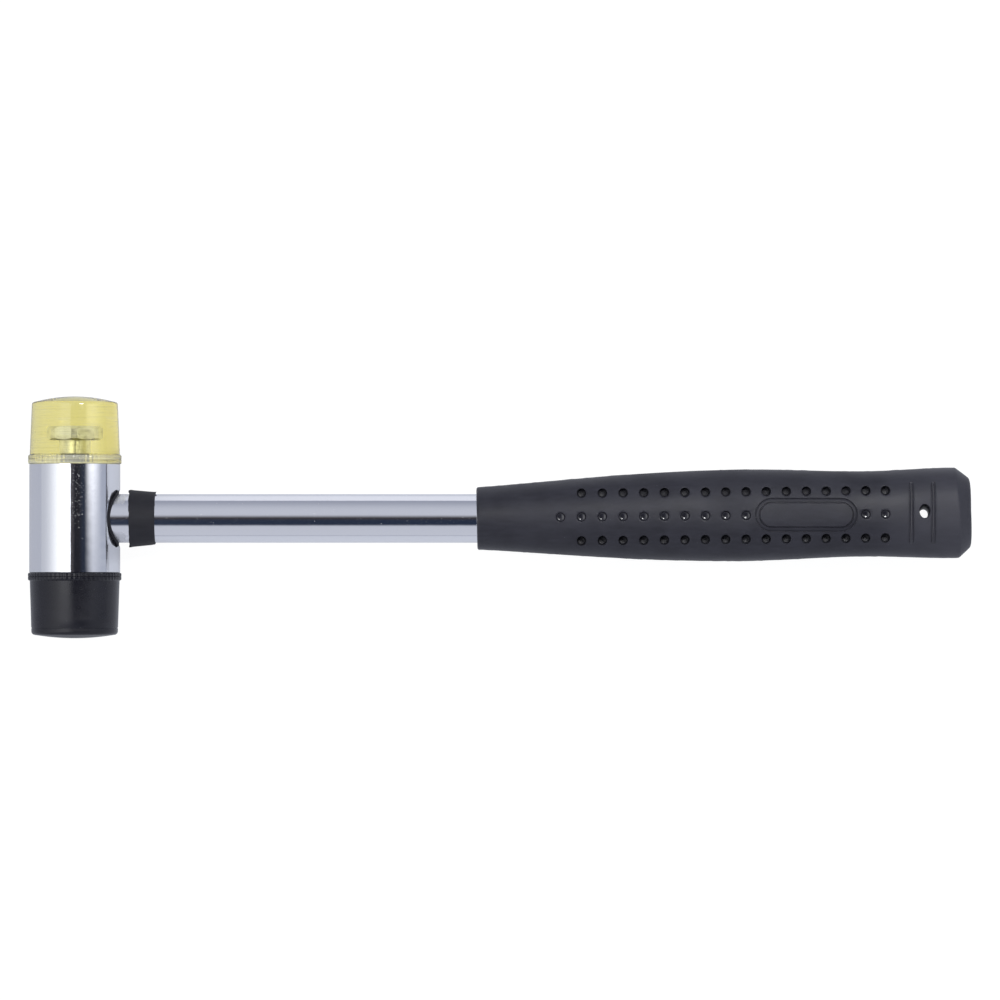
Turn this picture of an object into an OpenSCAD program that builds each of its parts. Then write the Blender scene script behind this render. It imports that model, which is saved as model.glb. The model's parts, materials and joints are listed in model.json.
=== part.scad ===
// Soft face hammer: a chromed head barrel on a tubular handle with a moulded rubber grip.
// A clear yellow face and a black rubber face screw into the two ends of the head.
// The hammer lies on its side: +X runs along the handle from the head to the butt,
// +Y along the head towards the yellow face, and +Z up from the bench.
// The origin is on the bench, below the middle of the hammer's outer box.

/* [Head barrel] */
// Outer diameter of the barrel
barrel_d = 25; // [23:0.5:30]
// Length of the barrel
barrel_len = 30; // [28:0.5:40]
// Wall of the barrel
barrel_wall = 2; // [1.5:0.1:2.5]
// Bevel round the two mouths of the barrel
barrel_bevel = 0.3; // [0.1:0.05:0.5]
// Diameter of the side hole that takes the handle
socket_d = 16.2; // [15.4:0.1:18]
// How far the rubber ring in the side hole lies below the barrel's skin
grommet_sink = 0.3; // [0.1:0.05:0.8]
// Gap across the handle's axis between the two end plugs
plug_split = 4; // [2:0.5:8]

/* [Faces] */
// How far the rims of the faces stand proud of the barrel
rim_proud = 0.35; // [0.1:0.05:1]
// Height of the yellow face at its crown
yellow_len = 18.6; // [16:0.1:24]
// Height of the yellow face's rim
yellow_rim_len = 2.5; // [1.5:0.1:4]
// How far the yellow face's side starts inside the barrel's skin
yellow_inset = 0.1; // [0:0.05:0.5]
// Draft of the yellow face, as loss of radius from rim to tip
yellow_draft = 0.55; // [0.2:0.05:1.5]
// Height of the crown of the yellow face
yellow_crown = 1.5; // [0.3:0.1:2]
// Height of the black face at its crown
black_len = 18; // [16:0.1:24]
// Height of the black face's rim
black_rim_len = 2.1; // [1.5:0.1:4]
// How far the black face's side starts inside the barrel's skin
black_inset = 0.15; // [0:0.05:0.5]
// Draft of the black face, as loss of radius from rim to tip
black_draft = 0.45; // [0.2:0.05:1.5]
// Height of the crown of the black face
black_crown = 0.9; // [0.2:0.1:2]
// Radius round the edge of the striking faces
face_edge_r = 1; // [0.4:0.1:2]

/* [Face bolts] */
// Nominal thread diameter
bolt_d = 6; // [5:0.5:6.5]
// Length of the shank below the hex head
bolt_len = 16; // [14:0.5:17]
// Width across the flats of the hex head
bolt_hex = 10; // [8:0.5:12]
// Height of the hex head
bolt_head_len = 4; // [3:0.1:5]
// Height of the bevel round the top of the hex head
bolt_head_bevel = 0.9; // [0.2:0.1:1.2]
// Height of the underside of the hex head above the foot of the face
bolt_seat = 6.3; // [5.5:0.1:7]
// Bevel at the tip of the shank
bolt_tip_bevel = 0.6; // [0.2:0.1:1]
// Outer diameter of the split lock washer
washer_d = 11.8; // [10:0.1:14]
// Thickness of the lock washer when screwed down
washer_len = 1.6; // [1:0.1:2]
// Width of the split in the lock washer
washer_split = 0.8; // [0.4:0.1:1.5]

/* [Handle tube] */
// Outer diameter of the handle tube
tube_d = 13.4; // [12:0.1:14]
// Wall of the handle tube
tube_wall = 1; // [0.8:0.1:1.5]
// Solid rubber between the end of the tube and the hang hole
tube_end_wall = 4.5; // [2:0.5:10]
// Distance from the head's axis to the near end of the collar
collar_at = 15.3; // [14.4:0.1:30]
// Length of the collar
collar_len = 7; // [5:0.5:15]
// Wall of the collar at its end towards the head
collar_wall = 1.2; // [0.8:0.1:2]
// Loss of radius from that end of the collar to the other
collar_taper = 0.3; // [0:0.05:0.6]

/* [Grip] */
// Distance from the head's axis to the front of the grip
grip_at = 110.8; // [90:0.5:150]
// Length of the grip
grip_len = 136; // [120:1:160]
// Width of the grip at its front
front_w = 17.2; // [16.5:0.1:20]
// Width of the grip at its swell
swell_w = 25.2; // [22:0.1:30]
// Width of the grip at its waist
waist_w = 23.5; // [20:0.1:28]
// Width of the grip at its butt
butt_w = 24.9; // [20:0.1:30]
// Thickness of the grip at its front
front_t = 17.3; // [16.5:0.1:20]
// Thickness of the grip at its swell
swell_t = 20.5; // [18.5:0.1:24]
// Thickness of the grip at its waist
waist_t = 19; // [18.5:0.1:23]
// Thickness of the grip at its butt
butt_t = 19.5; // [18.5:0.1:23]
// Rise of the grip's centre line above the tube's axis at its front
front_rise = 0; // [0:0.1:1]
// Rise of the grip's centre line above the tube's axis at its end
butt_rise = 1.6; // [0:0.1:3]
// Bevel at the front edge of the grip
front_bevel = 0.5; // [0.2:0.1:1.5]
// Length of the bevel at the butt
butt_bevel_len = 3.6; // [2:0.1:5]
// Loss of half width over the bevel at the butt
butt_bevel_drop = 2.9; // [1:0.1:4]
// Bulge of the end of the grip
butt_dome = 0.5; // [0.2:0.1:1]
// Diameter of the hang hole
hang_d = 3.2; // [2.5:0.1:5]
// Distance from the end of the grip to the hang hole
hang_from_end = 13.2; // [10:0.1:16]
// Height of the hang hole above the tube's axis
hang_rise = 1.9; // [0:0.1:4]

/* [Grip pattern] */
// Diameter of the dimples
dimple_d = 2.65; // [1.5:0.05:3.5]
// Depth of the dimples
dimple_depth = 1.8; // [0.6:0.1:2]
// Spacing of the first two dimples along the grip
dimple_pitch = 5.74; // [5.2:0.02:8]
// How much closer each next two dimples lie
dimple_closing = 0.023; // [0:0.001:0.03]
// Distance between the rows of dimples
dimple_row = 6.5; // [5.8:0.1:7]
// Distance from the front of the grip to the first dimple
dimple_start = 23; // [15:0.1:40]
// Distance that stays free of dimples at the end of the grip
dimple_tail = 22; // [20:0.1:30]
// How far the pattern drops below the grip's centre line over the whole length
pattern_drop = 0.35; // [0:0.05:1]
// Length of the framed panel
panel_len = 28.2; // [20:0.1:36]
// Width of the framed panel
panel_w = 9.3; // [7:0.1:9.8]
// Width of the groove that frames the panel
panel_groove = 1.45; // [0.8:0.05:2]
// Depth of that groove
panel_depth = 0.4; // [0.2:0.05:0.8]
// Length of the two ribs across the grip
rib_len = 17; // [10:0.5:19]
// Width of the ribs
rib_w = 1.2; // [0.6:0.1:1.5]
// Height of the ribs
rib_h = 0.5; // [0.2:0.05:0.8]
// Distance between the two ribs, on either side of the hang hole
rib_pitch = 6; // [5.6:0.1:9]
// How far the middle of the two ribs lies before the hang hole
rib_shift = 0.6; // [0:0.1:0.8]

/* [Hidden] */
$fn = 64;

// Clearances between pieces, and the overrun of cuts
press_gap = 0.02;
screw_gap = 0.05;
key_gap = 0.2;
seat_gap = 0.1;
overrun = 1;

// Number of sides of a hex head
hex_sides = 6;
// Diameter of the flat top of a hex head, of its width across the flats
hex_top_share = 0.95;
// Steps in the rounded edge and in the crown of a face
edge_steps = 5;
crown_steps = 6;
// Sides of the grip's section, and the longest step between two of its rings
grip_sides = 40;
ring_step = 5;
// Squareness of the grip's section at its front, where it is round, and from the swell on
front_square = 2;
body_square = 2.4;
// Places of the swell, the waist and the butt along the grip
swell_share = 0.544;
waist_share = 0.786;
butt_share = 0.959;
// How slowly the grip swells behind its front
swell_power = 1.15;
// Share of the butt's bevel that the end dome drops further
dome_share = 0.9;
// Columns from the end of the dimple pattern back to the middle of the panel
panel_columns = 4;

// Places along the head's axis, from the handle's axis
mouth = barrel_len / 2;
bolt_tip = mouth + bolt_seat - bolt_len;
// Places along the handle, from the head's axis
barrel_r = barrel_d / 2;
bore_r = barrel_r - barrel_wall;
tube_r = tube_d / 2;
tube_start = -sqrt(pow(bore_r - seat_gap, 2) - pow(tube_r, 2));
grip_end = grip_at + grip_len;
hang_at = grip_len - hang_from_end;
tube_end = grip_at + hang_at - hang_d / 2 - tube_end_wall;
// Outer box of the hammer
rim_r = barrel_r + rim_proud;
middle_x = (grip_end - rim_r) / 2;
middle_y = (yellow_len - black_len) / 2;
bench_z = max(rim_r, swell_t / 2, butt_t / 2);
// Pattern of the grip
pattern_len = grip_len - dimple_start - dimple_tail;
columns = count_columns(floor(2 * pattern_len / dimple_pitch));
panel_at = column_at(columns - 1 - panel_columns);
panel_clear = (panel_len + dimple_d) / 2;

// Puts a piece drawn round the crossing of head and handle into the part's own frame.
module in_frame() translate([-middle_x, -middle_y, bench_z]) children();

// Turns a piece drawn along +Z to lie along the handle, or towards either face.
module along_handle() rotate([0, 90, 0]) children();
module towards_yellow() rotate([-90, 0, 0]) children();
module towards_black() rotate([90, 0, 0]) children();

// Points on an arc, both ends included.
function arc(centre, r, from, to, steps) = [
    for (i = [0:steps])
        let (a = from + (to - from) * i / steps)
            centre + r * [cos(a), sin(a)]
];

// Half outline of a face: rim, drafted side, rounded edge and crowned striking surface.
function face_outline(len, rim_len, side_r, draft, crown) =
    let (
        tip_r = side_r - draft,
        flat_r = tip_r - face_edge_r,
        edge_top = len - crown,
        crown_r = (flat_r * flat_r + crown * crown) / (2 * crown),
        crown_angle = asin(flat_r / crown_r)
    )
    concat(
        [[0, 0], [rim_r, 0], [rim_r, rim_len], [side_r, rim_len]],
        arc([flat_r, edge_top - face_edge_r], face_edge_r, 0, 90 - crown_angle, edge_steps),
        arc([0, len - crown_r], crown_r, 90 - crown_angle, 90, crown_steps)
    );

// Hex head and shank of a face bolt, with the foot of the face at zero, grown by a gap.
module bolt_solid(gap, tip_bevel) {
    flat_r = bolt_hex / 2 + gap;
    head_r = flat_r / cos(180 / hex_sides);
    head_len = bolt_head_len + 2 * gap;
    shank_r = bolt_d / 2 + gap;
    translate([0, 0, bolt_seat - gap])
        intersection() {
            rotate([0, 0, 180 / hex_sides])
                cylinder(r = head_r, h = head_len, $fn = hex_sides);
            rotate_extrude()
                polygon([
                    [0, 0], [head_r, 0], [head_r, head_len - bolt_head_bevel],
                    [flat_r * hex_top_share, head_len], [0, head_len],
                ]);
        }
    translate([0, 0, bolt_seat - bolt_len])
        rotate_extrude()
            polygon([
                [0, 0], [shank_r - tip_bevel, 0], [shank_r, tip_bevel],
                [shank_r, bolt_len], [0, bolt_len],
            ]);
}

// A striking face with its moulded pocket for the bolt.
module face_solid(outline) {
    difference() {
        rotate_extrude() polygon(outline);
        bolt_solid(press_gap, 0);
    }
}

// A split lock washer between the end plug and the foot of the face.
module washer_solid() {
    translate([0, 0, -washer_len])
        difference() {
            cylinder(d = washer_d, h = washer_len);
            translate([0, 0, -overrun])
                cylinder(r = bolt_d / 2 + screw_gap, h = washer_len + 2 * overrun);
            translate([0, -washer_split / 2, -overrun])
                cube([washer_d, washer_split, washer_len + 2 * overrun]);
        }
}

// An end plug, tapped for the bolt and saddled on the handle tube.
module plug_solid() {
    plug_len = mouth - washer_len - plug_split / 2;
    difference() {
        translate([0, 0, plug_split / 2])
            cylinder(r = bore_r - press_gap, h = plug_len);
        translate([0, 0, -overrun])
            cylinder(r = bolt_d / 2 + screw_gap, h = mouth + overrun);
        along_handle()
            cylinder(r = tube_r + press_gap, h = barrel_d + 2 * overrun, center = true);
    }
}

module head_barrel() {
    color("silver")
        in_frame()
            difference() {
                towards_yellow()
                    rotate_extrude()
                        polygon([
                            [bore_r, -mouth], [barrel_r - barrel_bevel, -mouth],
                            [barrel_r, barrel_bevel - mouth], [barrel_r, mouth - barrel_bevel],
                            [barrel_r - barrel_bevel, mouth], [bore_r, mouth],
                        ]);
                along_handle() cylinder(d = socket_d, h = barrel_d);
            }
}

module yellow_end_plug() {
    color("slategray") in_frame() towards_yellow() plug_solid();
}

module black_end_plug() {
    color("slategray") in_frame() towards_black() plug_solid();
}

// The ring fills the wall of the barrel round the handle, a little below the skin.
module socket_grommet() {
    color("dimgray")
        in_frame()
            intersection() {
                along_handle()
                    difference() {
                        cylinder(r = socket_d / 2 - press_gap, h = barrel_d);
                        translate([0, 0, -overrun])
                            cylinder(r = tube_r + press_gap, h = barrel_d + 2 * overrun);
                    }
                towards_yellow()
                    difference() {
                        cylinder(r = barrel_r - grommet_sink, h = socket_d, center = true);
                        cylinder(r = bore_r + press_gap, h = socket_d + overrun, center = true);
                    }
            }
}

module yellow_face() {
    color("khaki")
        in_frame()
            translate([0, mouth, 0])
                towards_yellow()
                    face_solid(face_outline(
                        yellow_len, yellow_rim_len, barrel_r - yellow_inset,
                        yellow_draft, yellow_crown
                    ));
}

module yellow_face_bolt() {
    color("silver")
        in_frame() translate([0, mouth, 0]) towards_yellow() bolt_solid(0, bolt_tip_bevel);
}

module yellow_lock_washer() {
    color("slategray")
        in_frame() translate([0, mouth, 0]) towards_yellow() washer_solid();
}

module black_face() {
    color("#2c2c31")
        in_frame()
            translate([0, -mouth, 0])
                towards_black()
                    face_solid(face_outline(
                        black_len, black_rim_len, barrel_r - black_inset,
                        black_draft, black_crown
                    ));
}

module black_face_bolt() {
    color("silver")
        in_frame() translate([0, -mouth, 0]) towards_black() bolt_solid(0, bolt_tip_bevel);
}

module black_lock_washer() {
    color("slategray")
        in_frame() translate([0, -mouth, 0]) towards_black() washer_solid();
}

// The tube stops at the far wall of the head, where the tips of both bolts key it.
module handle_tube() {
    color("silver")
        in_frame()
            difference() {
                translate([tube_start, 0, 0])
                    along_handle() cylinder(r = tube_r, h = tube_end - tube_start);
                translate([tube_start - overrun, 0, 0])
                    along_handle()
                        cylinder(r = tube_r - tube_wall, h = tube_end - tube_start + 2 * overrun);
                towards_yellow()
                    cylinder(r = bolt_d / 2 + key_gap, h = tube_d + 2 * overrun, center = true);
            }
}

module handle_collar() {
    head_r = tube_r + collar_wall;
    far_r = head_r - collar_taper;
    color("#333337")
        in_frame()
            translate([collar_at, 0, 0])
                along_handle()
                    rotate_extrude()
                        polygon([
                            [tube_r + press_gap, 0], [head_r, 0],
                            [far_r, collar_len], [tube_r + press_gap, collar_len],
                        ]);
}

// Half size of the grip at a place along it, from its sizes at front, swell, waist and butt.
function grip_half(s, front, swell, waist, butt) =
    let (
        swell_at = swell_share * grip_len,
        waist_at = waist_share * grip_len,
        butt_at = butt_share * grip_len,
        whole =
            s < swell_at ? front + (swell - front) * pow(sin(90 * s / swell_at), swell_power)
            : s < waist_at ? blend(swell, waist, (s - swell_at) / (waist_at - swell_at))
            : blend(waist, butt, (s - waist_at) / (butt_at - waist_at))
    )
    whole / 2;

// Smooth passage from one value to another.
function blend(from, to, t) = from + (to - from) * (1 - cos(180 * min(t, 1))) / 2;

// Rise of the grip's centre line, and squareness of its section, at a place along it.
function grip_rise(s) = front_rise + (butt_rise - front_rise) * s / grip_len;
function grip_square(s) =
    front_square + (body_square - front_square) * min(1, s / (swell_share * grip_len));

// Half width and half thickness at a place along the grip.
function half_w(s) = grip_half(s, front_w, swell_w, waist_w, butt_w);
function half_t(s) = grip_half(s, front_t, swell_t, waist_t, butt_t);

// Height of the grip's skin above its middle plane, at a distance from its centre line.
function skin(s, y) =
    let (p = grip_square(s))
    half_t(s) * pow(1 - pow(abs(y) / half_w(s), p), 1 / p);

// One ring of the grip's surface, grown outwards or drawn in.
function signed_pow(v, p) = sign(v) * pow(abs(v), p);
function ring(s, grow) = [
    for (i = [0:grip_sides - 1])
        let (
            a = 360 * i / grip_sides,
            p = 2 / grip_square(s)
        )
        [
            s,
            grip_rise(s) + (half_w(s) + grow) * signed_pow(cos(a), p),
            (half_t(s) + grow) * signed_pow(sin(a), p),
        ]
];

// A closed surface through a list of [place, growth] pairs along the grip.
module grip_loft(stations) {
    rings = [for (station = stations) ring(station[0], station[1])];
    last = len(stations) - 1;
    points = [for (one = rings) each one];
    sides = [
        for (j = [0:last - 1], i = [0:grip_sides - 1])
            let (
                a = j * grip_sides + i,
                b = j * grip_sides + (i + 1) % grip_sides
            )
            each [[a, a + grip_sides, b], [b, a + grip_sides, b + grip_sides]]
    ];
    front_cap = [for (i = [0:grip_sides - 1]) i];
    back_cap = [for (i = [grip_sides - 1:-1:0]) last * grip_sides + i];
    polyhedron(points, concat(sides, [front_cap, back_cap]));
}

// Evenly spaced stations from one place to another, all grown alike.
function stations(from, to, grow) =
    let (steps = ceil((to - from) / ring_step))
    [for (i = [0:steps]) [from + (to - from) * i / steps, grow]];

// Place of a column of dimples along the grip, and the number of columns that find room.
function column_at(i) = dimple_start + i * dimple_pitch - dimple_closing * i * (i - 1) / 2;
function count_columns(most) =
    len([for (i = [0:most]) if (column_at(i) <= grip_len - dimple_tail) i]);

// Rise of the pattern above the tube's axis, and how far that is below the centre line.
function pattern_sink(s) = pattern_drop * s / grip_len;
function pattern_rise(s) = grip_rise(s) - pattern_sink(s);

// Blind dimples in three rows, with the middle row left out round the panel.
module dimples() {
    for (column = [0:columns - 1], row = [-1:1]) {
        s = column_at(column);
        y = row * dimple_row - pattern_sink(s);
        on_panel = abs(s - panel_at) < panel_clear;
        if (row == 0 ? !on_panel : column > 0)
            translate([s, grip_rise(s) + y, skin(s, y) - dimple_depth])
                cylinder(d = dimple_d, h = dimple_depth + overrun, $fn = 24);
    }
}

// Outline of the panel, drawn in from its outer edge.
module panel_outline(inset) {
    r = panel_w / 2 - inset;
    reach = (panel_len - panel_w) / 2;
    for (side = [-1, 1]) translate([side * reach, 0]) circle(r);
    square([2 * reach, 2 * r], center = true);
}

// The groove follows the skin at an even depth and leaves the middle of the panel standing.
module panel_frame() {
    from = panel_at - panel_len / 2 - overrun;
    to = panel_at + panel_len / 2 + overrun;
    difference() {
        translate([panel_at, pattern_rise(panel_at), 0])
            linear_extrude(swell_t)
                difference() {
                    panel_outline(0);
                    panel_outline(panel_groove);
                }
        grip_loft(stations(from, to, -panel_depth));
    }
}

// Two low ribs across the skin, on either side of the hang hole.
module ribs() {
    for (side = [-1, 1]) {
        s = hang_at - rib_shift + side * rib_pitch / 2;
        intersection() {
            grip_loft(stations(s - rib_w / 2, s + rib_w / 2, rib_h));
            translate([s - rib_w, grip_rise(s) - rib_len / 2, 0])
                cube([2 * rib_w, rib_len, butt_t]);
        }
    }
}

// Both broad sides of the grip carry the same pattern.
module both_sides() {
    children();
    mirror([0, 0, 1]) children();
}

module grip() {
    bevel_at = grip_len - butt_bevel_len;
    body = concat(
        [[0, -front_bevel]],
        stations(front_bevel, bevel_at, 0),
        [
            [grip_len - butt_dome, -butt_bevel_drop],
            [grip_len, -butt_bevel_drop * (1 + dome_share)],
        ]
    );
    color("#43434a")
        in_frame()
            translate([grip_at, 0, 0])
                difference() {
                    union() {
                        grip_loft(body);
                        both_sides() ribs();
                    }
                    translate([-overrun, 0, 0])
                        along_handle()
                            cylinder(r = tube_r + press_gap, h = tube_end - grip_at + overrun);
                    translate([hang_at, hang_rise, 0])
                        cylinder(d = hang_d, h = butt_t + 2 * overrun, center = true);
                    both_sides() dimples();
                    both_sides() panel_frame();
                }
}

head_barrel();
yellow_end_plug();
black_end_plug();
socket_grommet();
yellow_face();
yellow_face_bolt();
yellow_lock_washer();
black_face();
black_face_bolt();
black_lock_washer();
handle_tube();
handle_collar();
grip();
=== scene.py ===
"""Soft face hammer: its pieces, finishes and studio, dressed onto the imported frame.

Sizes are in millimetres, in the frame of the part: +X runs along the handle from the head to
the butt, +Y along the head towards the yellow face, +Z up from the bench. Meshes are in metres.
"""

import json
import logging
import math
from dataclasses import dataclass
from enum import Enum
from typing import Callable, Optional, Sequence, Union

import bmesh
import bpy
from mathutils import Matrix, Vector, noise

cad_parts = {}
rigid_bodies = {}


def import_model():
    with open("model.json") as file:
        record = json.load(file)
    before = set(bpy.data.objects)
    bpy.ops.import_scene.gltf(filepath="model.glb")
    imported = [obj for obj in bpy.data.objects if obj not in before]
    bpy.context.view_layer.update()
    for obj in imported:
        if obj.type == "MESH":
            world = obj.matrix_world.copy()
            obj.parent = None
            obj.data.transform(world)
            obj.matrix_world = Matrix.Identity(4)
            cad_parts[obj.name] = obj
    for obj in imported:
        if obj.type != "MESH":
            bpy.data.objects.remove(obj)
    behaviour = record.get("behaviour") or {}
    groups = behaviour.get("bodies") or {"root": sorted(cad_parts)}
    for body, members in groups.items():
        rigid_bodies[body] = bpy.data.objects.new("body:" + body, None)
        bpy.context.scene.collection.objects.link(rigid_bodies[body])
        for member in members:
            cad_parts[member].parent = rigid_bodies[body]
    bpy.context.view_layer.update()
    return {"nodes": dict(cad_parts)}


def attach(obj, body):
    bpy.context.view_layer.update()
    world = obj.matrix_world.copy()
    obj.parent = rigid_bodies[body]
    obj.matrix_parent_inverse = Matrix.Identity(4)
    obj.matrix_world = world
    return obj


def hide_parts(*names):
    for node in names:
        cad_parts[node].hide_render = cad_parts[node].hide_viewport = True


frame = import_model()

MM = 0.001
HEAD_Y = -0.3
LOG = logging.getLogger("hammer")

Piece = bpy.types.Object
Colour = tuple[float, float, float]
Outline = list[tuple[float, float]]
Input = Union["Value", float, Sequence[float]]


class Lie(Enum):
    """How a piece that was turned about +Z lies in the hammer, as Euler angles."""

    ALONG_HANDLE = (0.0, math.pi / 2, 0.0)
    TO_YELLOW = (-math.pi / 2, 0.0, 0.0)
    TO_BLACK = (math.pi / 2, 0.0, 0.0)


class Cut(Enum):
    """What a tool does to a piece."""

    AWAY = "DIFFERENCE"
    JOIN = "UNION"
    COMMON = "INTERSECT"


def operator(operation: str, swapped: bool = False) -> Callable[["Value", Input], "Value"]:
    """Makes an operator of Value.

    Args:
        operation: The sum that its Math node does.
        swapped: Whether the other term comes first.

    Returns:
        The operator.
    """
    def work(value: "Value", other: Input) -> "Value":
        """Adds the Math node."""
        terms = (other, value) if swapped else (value, other)
        return value.graph.maths(operation, *terms)

    return work


class Value:
    """An output socket whose numbers take part in plain Python sums."""

    __add__ = operator("ADD")
    __radd__ = operator("ADD", swapped=True)
    __sub__ = operator("SUBTRACT")
    __rsub__ = operator("SUBTRACT", swapped=True)
    __mul__ = operator("MULTIPLY")
    __rmul__ = operator("MULTIPLY", swapped=True)

    def __init__(self, graph: "Graph", socket: bpy.types.NodeSocket) -> None:
        """Keeps the graph and the socket."""
        self.graph = graph
        self.socket = socket

    def __abs__(self) -> "Value":
        """Drops the sign."""
        return self.graph.maths("ABSOLUTE", self)


class Graph:
    """A node tree that is filled by expressions."""

    def __init__(self, tree: bpy.types.NodeTree) -> None:
        """Empties the tree."""
        self.tree = tree
        tree.nodes.clear()

    def add(self, kind: str, inputs: Optional[dict[str, Input]] = None,
            output: Optional[str] = None, **settings: object) -> Value:
        """Adds a node.

        Args:
            kind: The node's type.
            inputs: Values or links by the name of the socket.
            output: The name of the wanted output, or none for the first.
            settings: Properties of the node, which are set before its sockets.

        Returns:
            The wanted output.
        """
        node = self.tree.nodes.new(kind)
        for key, setting in settings.items():
            setattr(node, key, setting)
        for key, given in (inputs or {}).items():
            socket = next(s for s in node.inputs if s.enabled and s.name == key)
            if isinstance(given, Value):
                self.tree.links.new(given.socket, socket)
            elif socket.type == "RGBA" and len(given) == 3:
                socket.default_value = (*given, 1.0)
            else:
                socket.default_value = given
        if not node.outputs:
            return Value(self, None)
        shown = [s for s in node.outputs if s.enabled]
        return Value(self, next((s for s in shown if s.name == output), shown[0]))

    def maths(self, operation: str, *terms: Input) -> Value:
        """Adds a Math node.

        Args:
            operation: The sum to do.
            terms: Its values, in order.

        Returns:
            The result.
        """
        node = self.tree.nodes.new("ShaderNodeMath")
        node.operation = operation
        for socket, term in zip(node.inputs, terms):
            if isinstance(term, Value):
                self.tree.links.new(term.socket, socket)
            else:
                socket.default_value = term
        return Value(self, node.outputs[0])

    def place(self) -> Value:
        """Gives the place on the piece in millimetres."""
        at = self.add("ShaderNodeTexCoord", output="Object")
        return self.add("ShaderNodeMapping", {"Vector": at, "Scale": (1 / MM, 1 / MM, 1 / MM)})

    def axis(self, at: Value, name: str) -> Value:
        """Gives one coordinate of a place or a direction."""
        return self.add("ShaderNodeSeparateXYZ", {"Vector": at}, name)

    def ray(self, kind: str) -> Value:
        """Gives one for rays of a kind and zero for all others."""
        return self.add("ShaderNodeLightPath", output=f"Is {kind} Ray")

    def step(self, value: Input, low: float, high: float) -> Value:
        """Rises smoothly from zero at low to one at high; low may be the greater."""
        ends = {"Value": value, "From Min": low, "From Max": high}
        return self.add("ShaderNodeMapRange", ends, interpolation_type="SMOOTHSTEP")

    def cloud(self, at: Value, scale: float, detail: float = 2.0) -> Value:
        """Gives soft noise from zero to one at so many waves per millimetre."""
        return self.add("ShaderNodeTexNoise", {"Vector": at, "Scale": scale, "Detail": detail})

    def squeeze(self, at: Value, scale: Sequence[float]) -> Value:
        """Stretches the pattern that reads a place."""
        return self.add("ShaderNodeMapping", {"Vector": at, "Scale": scale})

    def specks(self, at: Value, scale: float, size: float, share: float) -> Value:
        """Scatters dots.

        Args:
            at: The place on the piece.
            scale: Cells per millimetre.
            size: Radius of the largest dots, of a cell.
            share: Share of the cells that have a dot.

        Returns:
            One in the dots and zero around them.
        """
        cell = {"Vector": at, "Scale": scale}
        distance = self.add("ShaderNodeTexVoronoi", cell, "Distance")
        chance = self.add("ShaderNodeTexVoronoi", cell, "Color")
        pick = self.add("ShaderNodeSeparateColor", {"Color": chance}, "Red")
        return self.step(distance, size, size * 0.4) * self.step(pick, 1 - share, 1.02 - share)

    def blend(self, factor: Input, first: Input, second: Input) -> Value:
        """Goes from one colour to another."""
        ends = {"Factor": factor, "A": first, "B": second}
        return self.add("ShaderNodeMix", ends, "Result", data_type="RGBA")

    def link(self, kind: str, *given: Value) -> Value:
        """Adds a node whose sockets are linked in order.

        Args:
            kind: The node's type.
            given: Links of its inputs.

        Returns:
            Its first output.
        """
        node = self.tree.nodes.new(kind)
        for socket, value in zip(node.inputs, given):
            self.tree.links.new(value.socket, socket)
        return Value(self, node.outputs[0])

    def mix(self, factor: Value, first: Value, second: Value) -> Value:
        """Goes from one shader to another."""
        return self.link("ShaderNodeMixShader", factor, first, second)

    def join(self, first: Value, second: Value) -> Value:
        """Adds two shaders up."""
        return self.link("ShaderNodeAddShader", first, second)

    def bump(self, height: Value, depth: float) -> Value:
        """Turns a height from zero to one into a normal, for a depth in millimetres."""
        relief = {"Height": height, "Distance": depth * MM, "Strength": 1.0}
        return self.add("ShaderNodeBump", relief)


@dataclass(frozen=True)
class Finish:
    """A finish that a piece can take."""

    name: str
    slot: str

    def shade(self, graph: Graph) -> dict[str, Value]:
        """Fills the material; each finish has its own.

        Args:
            graph: The material's node tree.

        Returns:
            The links of the material's output, by socket.
        """
        raise NotImplementedError

    def make(self) -> bpy.types.Material:
        """Gives the finish's material, made at its first use.

        Returns:
            The material.
        """
        found = bpy.data.materials.get(self.name)
        if found:
            return found
        material = bpy.data.materials.new(self.name)
        material.use_nodes = True
        graph = Graph(material.node_tree)
        graph.add("ShaderNodeOutputMaterial", self.shade(graph))
        return material

    def dress(self, piece: Piece) -> None:
        """Puts the finish on a piece in place of all that it had."""
        piece.data.materials.clear()
        piece.data.materials.append(self.make())


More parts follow.
